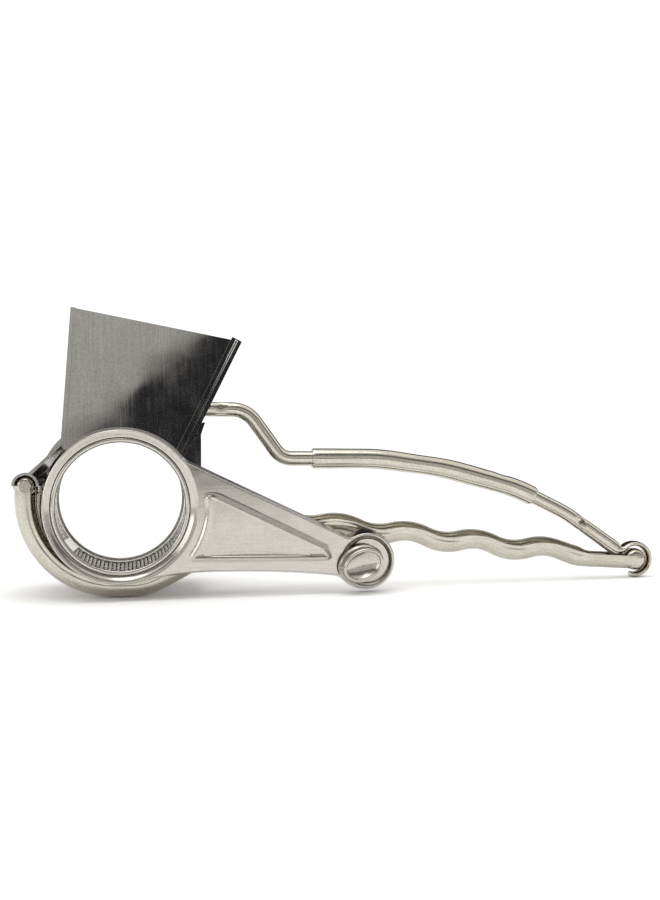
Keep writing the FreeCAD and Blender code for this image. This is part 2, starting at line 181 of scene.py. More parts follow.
def even(line, count):
    """The same line through evenly spaced points."""
    s = along(line)
    at = np.linspace(0, s[-1], count)
    return np.stack([np.interp(at, s, line[:, k]) for k in range(line.shape[1])], -1)


def bell_weights(sigma):
    """Weights of a bell curve whose width is sigma samples, adding up to 1."""
    reach = int(3 * sigma) + 1
    weights = np.exp(-0.5 * (np.arange(-reach, reach + 1) / sigma) ** 2)
    return weights / weights.sum()


def softened_line(line, step, width):
    """Evenly spaced points, each moved to the bell-weighted mean of its neighbours; the ends run on
    straight."""
    line = even(line, int(along(line)[-1] / step) + 1)
    weights = bell_weights(width / step)
    reach = len(weights) // 2
    k = np.arange(reach, 0, -1)[:, None]
    head = line[0] + (line[0] - line[1]) * k
    tail = line[-1] + (line[-1] - line[-2]) * k[::-1]
    run = np.concatenate([head, line, tail])
    return np.stack([np.convolve(run[:, j], weights, "valid") for j in range(2)], -1)


def softened_loop(loop, sigma):
    """Closed line with each point at the bell-weighted mean of its neighbours."""
    weights = bell_weights(sigma)
    reach = len(weights) // 2
    run = np.concatenate([loop[-reach:], loop, loop[:reach]])
    return np.stack([np.convolve(run[:, j], weights, "valid") for j in range(2)], -1)


def carried(line, y, angle, radius, high=1.0, wide=1.0):
    """Section carried along a line: each point is the line's own point plus radius cos(angle) high along
    the line's normal and radius sin(angle) wide along y. Also gives the straightened tube's coordinates."""
    tangent = np.gradient(line, axis=0)
    tangent /= np.hypot(*tangent.T)[:, None]
    normal = np.stack([-tangent[:, 1], tangent[:, 0]], -1)
    rise = radius * np.cos(angle) * high
    across = radius * np.sin(angle) * wide
    rise, across = np.broadcast_arrays(rise, across)
    rise = np.broadcast_to(rise, (len(line), rise.shape[-1]))
    across = np.broadcast_to(across, rise.shape)
    y = np.broadcast_to(np.reshape(y, (-1, 1)), rise.shape)
    points = np.stack([
        line[:, :1] + normal[:, :1] * rise,
        y + across,
        line[:, 1:] + normal[:, 1:] * rise,
    ], -1)
    lay = np.stack([np.broadcast_to(along(line)[:, None], rise.shape), across, rise], -1)
    return points, lay


def turned(profile, centre, count, start=0.0, sweep=360.0):
    """Profile of (radius, y) points turned about a y axis through centre."""
    profile = np.asarray(profile, float)
    closed = sweep == 360.0
    a = np.radians(start + sweep * np.linspace(0, 1, count, endpoint=not closed))[:, None]
    r, y = profile[:, 0], np.broadcast_to(profile[:, 1], (count, len(profile)))
    return np.stack([centre[0] + r * np.cos(a), y, centre[1] + r * np.sin(a)], -1)


def button(centre, radius, y0, y1, power=3.0):
    """Rounded stub along y: radius times the power-th root of 1 - |t|^power as t runs from end to end."""
    t = np.sin(np.linspace(-math.pi / 2, math.pi / 2, 29))
    reach = radius * np.clip(1 - np.abs(t) ** power, 0, 1) ** (1 / power)
    return turned(np.stack([reach, (y0 + y1) / 2 + (y1 - y0) / 2 * t], -1), centre, 72)


def quads(rows, columns, wrap_rows, wrap_columns, first):
    """Four-cornered faces of a grid of points that are numbered row by row from first."""
    i = np.arange(rows if wrap_rows else rows - 1)
    j = np.arange(columns if wrap_columns else columns - 1)
    i, j = np.meshgrid(i, j, indexing="ij")
    below, right = (i + 1) % rows, (j + 1) % columns
    corners = [i * columns + j, i * columns + right, below * columns + right, below * columns + j]
    return first + np.stack(corners, -1)


def patch(points, wrap_rows=False, wrap_columns=False, lay=None, keep=None):
    """One grid of a piece. keep is a mask of the faces that are metal, and not an opening."""
    return {"points": points, "wrap": (wrap_rows, wrap_columns), "lay": lay, "keep": keep}


def tidy_mesh(mesh, outward=None):
    """Merges doubles and turns the faces outwards; an open sheet is checked against its own outward
    direction."""
    work = bmesh.new()
    work.from_mesh(mesh)
    bmesh.ops.remove_doubles(work, verts=work.verts, dist=2e-7)
    bmesh.ops.dissolve_degenerate(work, edges=work.edges, dist=1e-8)
    bmesh.ops.recalc_face_normals(work, faces=work.faces)
    if outward is not None:
        score = sum(f.normal.dot(outward(f.calc_center_median())) * f.calc_area() for f in work.faces)
        if score < 0:
            bmesh.ops.reverse_faces(work, faces=work.faces)
    work.to_mesh(mesh)
    work.free()


def with_modifiers(thing):
    """The object's mesh after its modifiers, in place of its own mesh."""
    graph = bpy.context.evaluated_depsgraph_get()
    made = bpy.data.meshes.new_from_object(thing.evaluated_get(graph))
    thing.modifiers.clear()
    thing.data = made


def finish_piece(thing, node, crease):
    """Smooth shading with sharp edges past the crease angle; the piece stands for its CAD node."""
    body = next(b for b, nodes in frame["record"]["behaviour"]["bodies"].items() if node in nodes)
    slot = next(p["material_slot"] for p in frame["record"]["subparts"] if p["node"] == node)
    thing.data.shade_smooth()
    thing.data.set_sharp_from_angle(angle=math.radians(crease))
    thing.data.materials.clear()
    thing.data.materials.append(MATERIALS[slot])
    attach(thing, body)
    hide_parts(node)
    return thing


def piece(name, node, patches, settled, wall=None, outward=None, crease=38.0):
    """Object made of grids; an open sheet gets its wall on the inner side."""
    vertices, faces, lays = [], [], []
    first = 0
    for part in patches:
        rows, columns = part["points"].shape[:2]
        grid = quads(rows, columns, *part["wrap"], first)
        faces.append(grid[part["keep"]] if part["keep"] is not None else grid.reshape(-1, 4))
        vertices.append(row_frame(part["points"], settled).reshape(-1, 3))
        lay = part["points"] if part["lay"] is None else part["lay"]
        lays.append(np.asarray(lay, float).reshape(-1, 3) * MM)
        first += rows * columns
    mesh = bpy.data.meshes.new(name)
    mesh.from_pydata(np.concatenate(vertices).tolist(), [], np.concatenate(faces).tolist())
    lay = mesh.attributes.new("lay", "FLOAT_VECTOR", "POINT")
    lay.data.foreach_set("vector", np.concatenate(lays).astype(np.float32).ravel())
    tidy_mesh(mesh, outward)
    thing = bpy.data.objects.new(name, mesh)
    bpy.context.scene.collection.objects.link(thing)
    if wall:
        shell = thing.modifiers.new("wall", "SOLIDIFY")
        shell.thickness = wall * MM
        shell.offset = -1.0
        shell.use_even_offset = False
        shell.use_quality_normals = True
        with_modifiers(thing)
    return finish_piece(thing, node, crease)


def eased_copy(node, edge=0.14):
    """Copy of a CAD node with its edges broken by a small bevel, as a deburred sheet or rod has them."""
    mesh = frame["nodes"][node].data.copy()
    mesh.name = node + "_eased"
    tidy_mesh(mesh)
    thing = bpy.data.objects.new(mesh.name, mesh)
    bpy.context.scene.collection.objects.link(thing)
    flat = thing.modifiers.new("flat", "DECIMATE")
    flat.decimate_type = "DISSOLVE"
    flat.angle_limit = math.radians(0.6)
    soft = thing.modifiers.new("edge", "BEVEL")
    soft.width = edge * MM
    soft.segments = 2
    soft.limit_method = "ANGLE"
    soft.angle_limit = math.radians(35.0)
    soft.harden_normals = False
    with_modifiers(thing)
    return finish_piece(thing, node, 12.0)


# ---- materials ----

def linear(code):
    """Linear colour of an sRGB hex value."""
    parts = [int(code[i:i + 2], 16) / 255 for i in (1, 3, 5)]
    return tuple(c / 12.92 if c <= 0.04045 else ((c + 0.055) / 1.055) ** 2.4 for c in parts) + (1.0,)


def per(size):
    """Texture scale whose features are about so many millimetres across."""
    return 1 / (size * MM)


def add(tree, kind, inputs, **settings):
    """Adds a node, sets it, and fills its inputs with values or links."""
    made = tree.nodes.new(kind)
    for key, value in settings.items():
        setattr(made, key, value)
    for socket, value in inputs.items():
        if isinstance(value, bpy.types.NodeSocket):
            tree.links.new(value, made.inputs[socket])
        else:
            made.inputs[socket].default_value = value
    return made


def steel(name, light, dark, gloss, grain, grain_depth, wave_depth, follows_surface, speckle=0.45):
    """Stainless steel: grain is the size of the brush marks in millimetres along x, y and z, and depths
    are in millimetres. The marks change colour and gloss a little; long waves bend what it mirrors."""
    material = bpy.data.materials.new(name)
    material.use_nodes = True
    tree = material.node_tree
    tree.nodes.clear()
    if follows_surface:
        place = add(tree, "ShaderNodeAttribute", {}, attribute_name="lay").outputs["Vector"]
    else:
        place = add(tree, "ShaderNodeTexCoord", {}).outputs["Object"]
    stretch = add(tree, "ShaderNodeMapping", {"Vector": place, "Scale": tuple(per(g) for g in grain)})
    brush = add(tree, "ShaderNodeTexNoise", {
        "Vector": stretch.outputs["Vector"], "Scale": 1.0, "Detail": 3.0, "Roughness": 0.6,
    })
    spots = add(tree, "ShaderNodeTexNoise", {
        "Vector": place, "Scale": per(speckle), "Detail": 2.0, "Roughness": 0.5,
    })
    smudge = add(tree, "ShaderNodeTexNoise", {
        "Vector": place, "Scale": per(9.0), "Detail": 3.0, "Roughness": 0.55,
    })
    waves = add(tree, "ShaderNodeTexNoise", {"Vector": place, "Scale": per(16.0), "Detail": 1.0})
    marks = add(tree, "ShaderNodeMath", {
        0: brush.outputs["Fac"], 1: spots.outputs["Fac"],
    }, operation="ADD")
    shade = add(tree, "ShaderNodeMapRange", {
        "Value": marks.outputs["Value"], "From Min": 0.7, "From Max": 1.3, "To Min": 0.0, "To Max": 1.0,
    })
    colour = add(tree, "ShaderNodeMix", {
        "Factor": shade.outputs["Result"], "A": linear(dark), "B": linear(light),
    }, data_type="RGBA")
    blend = add(tree, "ShaderNodeMath", {
        0: brush.outputs["Fac"], 1: 0.5, 2: smudge.outputs["Fac"],
    }, operation="MULTIPLY_ADD")
    rough = add(tree, "ShaderNodeMapRange", {
        "Value": blend.outputs["Value"], "From Min": 0.5, "From Max": 1.0,
        "To Min": gloss[0], "To Max": gloss[1],
    })
    fine = add(tree, "ShaderNodeBump", {
        "Height": brush.outputs["Fac"], "Distance": grain_depth * MM, "Strength": 1.0,
    })
    long = add(tree, "ShaderNodeBump", {
        "Height": waves.outputs["Fac"], "Distance": wave_depth * MM, "Strength": 1.0,
        "Normal": fine.outputs["Normal"],
    })
    shader = add(tree, "ShaderNodeBsdfPrincipled", {
        "Base Color": colour.outputs["Result"], "Metallic": 1.0,
        "Roughness": rough.outputs["Result"], "Normal": long.outputs["Normal"],
    })
    add(tree, "ShaderNodeOutputMaterial", {"Surface": shader.outputs["BSDF"]})
    return material


MATERIALS = {
    # Drawn and bent stainless tube, tumbled to a satin: a soft grain with fine draw lines along it.
    "satin_steel_tube": steel(
        "satin_drawn_stainless_tube", "#D2CDC2", "#B0AA9F", (0.09, 0.19), (7.0, 0.5, 0.5),
        0.006, 0.10, True, speckle=0.5),
    # Mirror-finished stainless sheet with fine upright polishing lines.
    "polished_steel_sheet": steel(
        "mirror_polished_stainless_sheet", "#C6C4C0", "#A9A6A2", (0.035, 0.10), (0.35, 0.35, 14.0),
        0.0015, 0.05, False),
    # Deep-drawn stainless sheet, brightened after pressing, with a faint grain along the arm.
    "pressed_steel": steel(
        "bright_pressed_stainless", "#CCC9C2", "#B3AFA7", (0.10, 0.20), (9.0, 0.4, 0.4),
        0.003, 0.08, False),
    # Thin punched stainless, bright between the teeth, with rolling marks round the drum.
    "grater_steel": steel(
        "punched_thin_stainless", "#CDCAC4", "#A9A59D", (0.12, 0.24), (4.0, 0.3, 4.0),
        0.004, 0.05, False),
    # Turned and peened stainless rod, duller than the sheets.
    "rivet_steel": steel(
        "peened_stainless_rod", "#BEBAB2", "#96918A", (0.22, 0.36), (0.5, 6.0, 0.5),
        0.005, 0.04, False),
}


# ---- handle ----

def handle_points():
    """Corners of the handle's centre line: hem, cradle under the drum, finger grip, hinge."""
    points = [HEM, (HEM[0], CRADLE_LOW, CRADLE_R), (8.5, CRADLE_LOW, 20.0), (50.5, -3.0, 9.0)]
    for i in range(8):
        x = GRIP_FIRST + i * GRIP_PITCH / 2
        swing = GRIP_SWING if i % 2 else -GRIP_SWING
        points.append((x, 1.39 + GRIP_SLOPE * x + swing, 15.4))
    points.append((GRIP_FIRST + 4 * GRIP_PITCH, -17.6, 15.0))
    points.append(HINGE)
    return points


def slotted_section(start, end, radius, wall):
    """Closed section of a slotted tube: the outer arc from start to end, a round lip, the inner arc back
    and the other lip. start and end are columns of angles, one row for each place along the tube."""
    middle, half = radius - wall / 2, wall / 2
    t = np.linspace(0, 1, 53)
    back = np.linspace(1, 0, 37)
    lip = np.linspace(math.pi / 2, -math.pi / 2, 9)[1:-1]
    outer = start + (end - start) * t
    inner = start + (end - start) * back
    far_lip = end + half * np.cos(lip) / middle
    near_lip = start - half * np.cos(lip) / middle
    rows = np.ones_like(start)
    angle = np.concatenate([outer, far_lip, inner, near_lip], 1)
    reach = np.concatenate([
        rows * radius * np.ones_like(t), rows * (middle + half * np.sin(lip)),
        rows * (radius - wall) * np.ones_like(back), rows * (middle - half * np.sin(lip)),
    ], 1)
    return angle, reach


def handle_tube():
    """Slotted tube; the slot widens over each finger crest and closes a little in each recess."""
    line = softened_line(rounded(handle_points()), 0.6, 0.9)
    x = line[:, :1]
    grip = ease((x - 52) / 10) * ease((158 - x) / 10)
    crest = grip * (0.5 - 0.5 * np.cos(2 * math.pi * (x - GRIP_FIRST) / GRIP_PITCH))
    nest = ease((x - 154) / 6)
    start = np.radians(30.0 + 8 * crest + 34 * nest)
    end = np.radians(296.0 - 9 * crest - 12 * nest)
    angle, reach = slotted_section(start, end, TUBE_R, TUBE_WALL)
    flare = 0.34 * (bump((angle - start) / 0.14) + bump((angle - end) / 0.14))
    points, lay = carried(line, TUBE_Y, angle, reach + flare)
    low, high = TUBE_Y - TUBE_R, TUBE_Y + TUBE_R
    parts = [
        patch(closed_ends(points), wrap_columns=True, lay=closed_ends(lay)),
        patch(button(HEM, 3.25, low, high)),
        patch(button(HINGE, 3.8, low - 0.1, high + 0.1, 2.6)),
    ]
    return piece("handle_tube", "grip_handle", [wrapped(p) for p in parts], settled=True)


def closed_ends(grid):
    """Grid with one more row at each end, drawn together to the section's mean point."""
    ends = [np.broadcast_to(grid[k].mean(0), grid[k].shape)[None] for k in (0, -1)]
    return np.concatenate([ends[0], grid, ends[1]])


def wrapped(part):
    """A turned patch closes round its rows; a carried one closes round its columns."""
    if not part["wrap"][1]:
        part["wrap"] = (True, False)
    return part


# ---- lever ----

def lever_line():
    """Centre line: over the drum, down past the hopper, along the sleeve, then round the knuckle."""
    straight = [(-6.0, 31.0), (40.2, 31.0, 9.0), (51.9, 15.2, 6.0)] + LEVER_RUN
    hook = arc(HINGE, HOOK_LINE_R, HOOK_FROM, HOOK_TO, 90)
    straight += [(150.0, -2.6, 50.0), (169.7, -15.85, 2.1), tuple(hook[0])]
    return softened_line(np.concatenate([rounded(straight)[:-1], hook]), 0.4, 0.55)


def place_along(line, x):
    """Length along the lever where its centre line first reaches x."""
    return along(line)[np.argmax(line[:, 0] >= x)]


def pinch(s, angle, at, facing, reach, depth, spread):
    """Dent whose depth falls in a straight line to nothing at reach along the tube, and as a bell
    round it."""
    return depth * np.clip(1 - np.abs(s - at) / reach, 0, 1) * bump((angle - facing) / spread)


def lever_tube():
    """Seamed tube, pinched where it was bent, flattening into a band that hooks round the knuckle."""
    line = lever_line()
    s = along(line)[:, None]
    angle = np.linspace(-math.pi, math.pi, 96, endpoint=False)[None]
    hook_at = s[-1, 0] - math.radians(HOOK_FROM - HOOK_TO) * HOOK_LINE_R
    flat = ease((s - hook_at + 3.2) / 3.6)
    radius = np.full((len(line), angle.shape[1]), LEVER_R)
    side = math.radians(-72.0)
    crimp = place_along(line, CRIMP_X)
    dent = place_along(line, DENT_X)
    radius -= pinch(s, angle, crimp, side, 2.6, 0.70, 0.75)
    radius -= pinch(s, angle, dent, side, 2.4, 1.00, 0.80)
    radius -= 0.30 * bump((angle - SEAM) / 0.08) * (1 - flat)
    radius -= 0.10 * bump((s - dent - 1.6) / 0.5)
    high = 1 - 0.61 * flat
    wide = 1 + 0.22 * flat - 0.10 * ease((s - hook_at + 9) / 4) * (1 - flat)
    y = LEVER_Y + (HOOK_Y - LEVER_Y) * ease((s - hook_at + 30) / 16)
    points, lay = carried(line, y, angle, radius, high, wide)
    tip = rounded_tip(points, 0.5)
    tip_lay = lay[-1:].repeat(len(tip), 0)
    return piece("lever_tube", "lever_arm", [
        patch(np.concatenate([points, tip]), wrap_columns=True, lay=np.concatenate([lay, tip_lay])),
        patch(np.stack([points[0], np.broadcast_to(points[0].mean(0), points[0].shape)]), wrap_columns=True),
    ], settled=True)


def rounded_tip(points, bulge):
    """Rows that draw the last section together along a quarter ellipse, bulge millimetres further on."""
    last = points[-1]
    middle = last.mean(0)
    ahead = middle - points[-2].mean(0)
    ahead = ahead / np.linalg.norm(ahead)
    t = np.linspace(0, math.pi / 2, 8)[1:, None, None]
    return middle + (last - middle) * np.cos(t) + ahead * bulge * np.sin(t)


def lever_cover():
    """Sleeve: outer skin out to eased ends, then back through the bore; slightly uneven, with a seam."""
    line = softened_line(rounded([SLEEVE_ENDS[0]] + LEVER_RUN + [SLEEVE_ENDS[1]]), 0.5, 1.0)
    s = along(line)[:, None]
    angle = np.linspace(-math.pi, math.pi, 96, endpoint=False)[None]
    total = s[-1, 0]
    uneven = 0.06 * np.sin(s / 7.3) + 0.05 * np.sin(s / 3.9 + 1.0)
    dent = pinch(s, angle, total - 12.5, 0.0, 3.0, 0.22, 0.7)
    seam = 0.16 * bump((angle - SEAM) / 0.05)
    ends = 0.25 * (1 - np.clip(np.minimum(s, total - s) / 0.25, 0, 1))
    outer, outer_lay = carried(line, LEVER_Y, angle, SLEEVE_OUT + uneven - 0.10 - dent - seam - ends)
    inner, inner_lay = carried(line, LEVER_Y, angle, SLEEVE_IN + 0 * outer[..., 0])
    points = np.concatenate([outer, inner[::-1]])
    lay = np.concatenate([outer_lay, inner_lay[::-1]])
    return piece("lever_cover", "lever_sleeve", [patch(points, True, True, lay)], settled=True)


# ---- crank ----

def distance_to_outline(p, outline):
    """Distance from points to a closed outline, below zero inside it, and the same to each of its sides."""
    x, z = p[..., 0], p[..., 1]
    nearest = np.full(x.shape, 1e9)
    inside = np.zeros(x.shape, bool)
    for a, b in zip(outline, np.roll(outline, -1, 0)):
        run = b - a
        t = np.clip(((x - a[0]) * run[0] + (z - a[1]) * run[1]) / (run @ run), 0, 1)
        nearest = np.minimum(nearest, np.hypot(x - a[0] - t * run[0], z - a[1] - t * run[1]))
        crosses = (a[1] > z) != (b[1] > z)
        level = run[1] if run[1] else 1e-9
        inside ^= crosses & (x < a[0] + (z - a[1]) * run[0] / level)
    return np.where(inside, -nearest, nearest)


PANEL_ROUND = 1.6
PANEL_TOP = np.array([[27.6, 5.2], [65.0, -13.8]])


def panel_core():
    """Raised panel's outline, smaller all round by PANEL_ROUND: its left side runs along the ring."""
    left = arc((0, 0), 28.1, 4.0, -35.5, 24)
    return np.concatenate([left, [[64.4, -17.4], [64.2, -15.2], [30.0, 2.0]]])


def crank_relief(p):
    """Height of the pressed front over its plane: a dish round the mouth, a raised panel with a bead along
    its left, lower and right sides, a bowed crease inside it, and a sunk round end."""
    x, z = p[..., 0], p[..., 1]
    r = np.hypot(x, z)
    dish = 1.15 * ease((23.75 - r) / 2.3) + 0.10 * bump((r - 23.6) / 0.22)
    d = distance_to_outline(p, panel_core()) - PANEL_ROUND
    top_run = PANEL_TOP[1] - PANEL_TOP[0]
    top_run = top_run / np.hypot(*top_run)
    below_top = -((z - PANEL_TOP[0, 1]) * top_run[0] - (x - PANEL_TOP[0, 0]) * top_run[1])
    side = ease((below_top - 0.8) / 2.4)
    lift = 0.34 * ease((0.25 - d) / (0.9 + 2.4 * (1 - side)))
    bead = 0.34 * bump((d + 1.0) / 0.62) * side
    bow = -16.7 - 0.028 * (x - 20.6) + 2.4 * (1 - ((x - 42.5) / 22.0) ** 2)
    sag = 0.24 * ease((bow - z) / 0.8) * ease((-d - 1.4) / 0.8)
    end = np.hypot(x - CRANK_END[0], z - CRANK_END[1])
    past_fold = (x - 70.2) * 0.968 - (z + 14.8) * 0.25
    sunk = 1.25 * ease((8.2 - end) / 1.1) * ease((past_fold + 0.2) / 1.4)
    return lift + bead - sag - dish - sunk


def crank_loop(arm_count):
    """Outline of ring, arm and round end, anticlockwise, and where each stretch of it begins."""
    stretches = [
        arc((0, 0), RING_R, 35.5, 280.4, 216),
        even(np.concatenate([
            arc_through((4.5, -24.4), (16.1, -22.4), (30.0, -21.9), 40),
            arc_through((30.0, -21.9), (48.0, -22.6), (67.9, -24.5), 60)[1:],
            [(69.88, -24.99)],
        ]), arm_count + 1),
        arc(CRANK_END, CRANK_END_R, -146.0, 124.5, 108),
        even(np.array([(72.45, -11.42), (20.27, 14.47)]), arm_count + 1),
    ]
    loop = np.concatenate([part[:-1] for part in stretches])
    starts = np.concatenate([[0], np.cumsum([len(part) - 1 for part in stretches])])
    return softened_loop(loop, 2.2), starts


def coons(left, right, low, high):
    """Points between four edges: the mean of the two rulings less the corners' own surface."""
    s = np.linspace(0, 1, len(low))[:, None, None]
    t = np.linspace(0, 1, len(left))[None, :, None]
    ruled = (1 - s) * left[None] + s * right[None] + (1 - t) * low[:, None] + t * high[:, None]
    corners = (1 - s) * ((1 - t) * left[0] + t * left[-1]) + s * ((1 - t) * right[0] + t * right[-1])
    return ruled - corners


def raised(flat):
    """Points (x, z) of the crank's front put at their pressed height."""
    return np.stack([flat[..., 0], -crank_relief(flat), flat[..., 1]], -1)


def crank_plate():
    """Pressed plate: ring, arm and end share one front, and its edge turns back round a small bend."""
    arm_count, neck_count = 150, 140
    loop, starts = crank_loop(arm_count)
    step = (np.roll(loop, -1, 0) - np.roll(loop, 1, 0))
    outward = np.stack([step[:, 1], -step[:, 0]], -1) / np.hypot(*step.T)[:, None]
    front = loop - CRANK_DRAFT * outward
    inset = front - CRANK_BEND * outward
    ring_edge = inset[starts[0]:starts[1] + 1]
    low = inset[starts[1]:starts[2] + 1]
    end_edge = inset[starts[2]:starts[3] + 1]
    high = np.concatenate([inset[starts[3]:], inset[:1]])[::-1]
    first = math.degrees(math.atan2(low[0, 1], low[0, 0]))
    last = math.degrees(math.atan2(high[0, 1], high[0, 0]))
    left = arc((0, 0), 1.0, first, last, neck_count + 1)
    run = np.linspace(0, 1, neck_count + 1)
    reach = np.full_like(run, RING_R - 2.0)
    reach += (np.hypot(*low[0]) - reach) * ease(1 - run / 0.05)
    reach += (np.hypot(*high[0]) - reach) * ease((run - 0.95) / 0.05)
    left *= reach[:, None]
    left[0], left[-1] = low[0], high[0]
    right = even(np.array([low[-1], high[-1]]), neck_count + 1)
    arm = coons(left, right, low, high)

    round_ring = np.concatenate([ring_edge, left[1:-1]])
    v = np.linspace(0, 1, 15)[:, None, None]
    mouth = round_ring / np.hypot(*round_ring.T)[:, None] * PLATE_MOUTH_R
    ring = round_ring * (1 - v) + mouth * v

    round_end = np.concatenate([end_edge, right[1:-1][::-1]])
    v = np.linspace(0, 1, 22)[:, None, None]
    end = round_end * (1 - v) + CRANK_END * v

    bend = np.radians(np.linspace(0, 90, 7))[:, None, None]
    out = inset + outward * CRANK_BEND * np.sin(bend)
    back = CRANK_BEND * (1 - np.cos(bend[..., 0])) + 0 * out[..., 0]
    depths = np.linspace(CRANK_BEND, CRANK_FLANGE, 5)[1:, None]
    leave = np.linspace(0, 1, 5)[1:, None, None]
    out = np.concatenate([out, front + (loop - front) * leave])
    back = np.concatenate([back, depths + 0 * out[:4, :, 0]])
    back[0] = -crank_relief(inset)
    flange = np.stack([out[..., 0], back, out[..., 1]], -1)
    return piece("crank_plate", "crank_arm", [
        patch(raised(arm)), patch(raised(ring), wrap_columns=True), patch(raised(end), wrap_columns=True),
        patch(flange, wrap_columns=True),
    ], settled=False, wall=CRANK_SHEET, outward=lambda at: Vector((0, -1, 0)), crease=50.0)


# ---- knob ----

def oval_rows(rows):
    """Rows of (inset, share, y): the knob's oval drawn in by inset, then scaled by share, at y."""
    u = np.linspace(0, 2 * math.pi, 128, endpoint=False)
    inset, share, y = np.array(rows).T[:, :, None]
    across = (KNOB_SEMI[0] - inset) * share * np.cos(u)
    up = (KNOB_SEMI[1] - inset) * share * np.sin(u)
    c, s = math.cos(KNOB_TILT), math.sin(KNOB_TILT)
    return np.stack([KNOB[0] + across * c - up * s, y + 0 * across, KNOB[1] + across * s + up * c], -1)


def knob_dish():
    """Oval knob: a skirt, a waist, a rolled rim and a hollow dished face."""
    skirt = [(0.0, 1.0, -1.15), (0.0, 1.0, -1.9), (0.12, 1.0, -2.3), (0.55, 1.0, -2.75), (0.75, 1.0, -3.2),
             (0.78, 1.0, -5.0)]
    a = np.radians(np.linspace(0, 205, 17))
    rim = np.stack([1.38 - 0.62 * np.cos(a), np.ones_like(a), -6.2 - 0.78 * np.sin(a)], -1)
    k = np.linspace(1, 0, 26)[1:]
    inner = rim[-1]
    face = np.stack([np.full_like(k, inner[0]), k, inner[2] + 1.7 * (1 - k ** 2)], -1)
    rows = oval_rows(np.concatenate([skirt, rim, face]))
    return piece("knob_dish", "knob_cup", [patch(rows, wrap_columns=True)], settled=False,
                 wall=0.45, outward=lambda at: Vector((0, -1, 0)), crease=60.0)


# ---- drum ----

TEETH_ROUND = 52
TEETH_LONG = 18
TEETH_NEAR = 9.5
TEETH_FAR = 50.5
TOOTH_HEIGHT = 0.5


def drum_wall():
    """Punched drum: each tooth is a half-cone that rises towards its cutting edge and drops steeply after it,
    with an opening under the edge; rows are staggered by half a tooth."""
    per_tooth, per_row = 8, 6
    turn = np.arange(TEETH_ROUND * per_tooth) / per_tooth
    steps = TEETH_LONG * per_row
    teeth_y = TEETH_NEAR + (TEETH_FAR - TEETH_NEAR) * np.arange(steps + 1) / steps
    y = np.concatenate([[DRUM_NEAR, 4.0, 7.0], teeth_y, [53.0, 55.5, DRUM_FAR]])
    row = (y - TEETH_NEAR) / (TEETH_FAR - TEETH_NEAR) * TEETH_LONG
    inside = (row >= 0) & (row <= TEETH_LONG)
    shift = 0.5 * (np.floor(np.clip(row, 0, TEETH_LONG - 0.01)) % 2)
    u = (turn[:, None] + shift[None]) % 1.0
    w = (row % 1.0)[None] * 2 - 1
    climb = np.clip(u / 0.68, 0, 1) * np.clip((0.86 - u) / 0.14, 0, 1)
    width = np.clip(1 - (w / 0.82) ** 2, 0, 1)
    reach = DRUM_R + TOOTH_HEIGHT * climb * np.sqrt(width) * inside
    a = 2 * math.pi * turn / TEETH_ROUND
    points = np.stack([
        reach * np.cos(a)[:, None], np.broadcast_to(y, reach.shape), reach * np.sin(a)[:, None],
    ], -1)
    middle_u = (u[:, :-1] + 0.5 / per_tooth) % 1.0
    middle_w = (w[:, :-1] + 1.0 / per_row) * np.ones_like(middle_u)
    teeth_faces = (inside[:-1] & inside[1:])[None]
    opening = (middle_u > 0.72) & (middle_u < 0.90) & (np.abs(middle_w) < 0.4) & teeth_faces
    lap_turn = np.radians(np.linspace(0, 12, 14))[:, None]
    lap_y = np.linspace(9, 53, 30)[None]
    lap_angle = math.radians(211.0) + lap_turn + 0.0022 * (lap_y - 9)
    lap = [np.stack([r * np.cos(lap_angle), lap_y + 0 * lap_angle, r * np.sin(lap_angle)], -1)
           for r in (22.45, 22.05)]
    edge = [np.concatenate([g[:1, :], g[-1:, :]]) for g in lap]
    grid = np.concatenate([lap[0], lap[1][::-1]])
    drum = piece("drum_wall", "drum_shell", [patch(points, wrap_rows=True, keep=~opening)], settled=False,
                 wall=DRUM_WALL * 0.7, outward=from_drum_axis, crease=32.0)
    seam = piece("drum_lap_seam", "drum_shell", [patch(closed_sides(grid), wrap_rows=True)], settled=False)
    return drum, seam


def closed_sides(grid):
    """Grid with one more column at each side, drawn halfway to its opposite face, which closes it."""
    mirror = grid[::-1]
    middle = (grid + mirror) / 2
    return np.concatenate([middle[:, :1], grid, middle[:, -1:]], 1)


def from_drum_axis(at):
    """Direction from the drum's axis to a point."""
    return Vector((at.x - AXIS[0], 0, at.z - AXIS[2])).normalized()


LIP_HALF = 0.86                  # half the rolled lip's width


def drum_mouth_lip():
    """Rolled lip, oval in section, with the skirt that sits inside the shell."""
    a = np.linspace(0, 2 * math.pi, 32, endpoint=False)
    roll = np.stack([MOUTH_R + LIP_HALF + LIP_HALF * np.cos(a), 1.8 + 0.95 * np.sin(a)], -1)
    skirt = softened_line(np.array([(21.3, 2.3), (22.2, 2.7), (22.2, 7.0)]), 0.2, 0.3)
    return piece("drum_mouth_lip", "drum_lip", [
        patch(turned(roll, (0, 0), 256), True, True),
        patch(turned(np.concatenate([skirt, skirt[::-1] - [0.35, 0.0]]), (0, 0), 256), True, True),
    ], settled=False)


handle_tube()
lever_tube()
lever_cover()
crank_plate()
knob_dish()
drum_wall()
drum_mouth_lip()
for plain in ("near_cheek", "far_cheek", "left_wall", "right_wall", "hem_rod", "tie_rod", "pusher_plate",
              "pusher_bracket", "pusher_rivets", "drum_far_rim", "knob_stud", "stud_washer", "knob_back"):
    eased_copy(plain)


# ---- studio ----

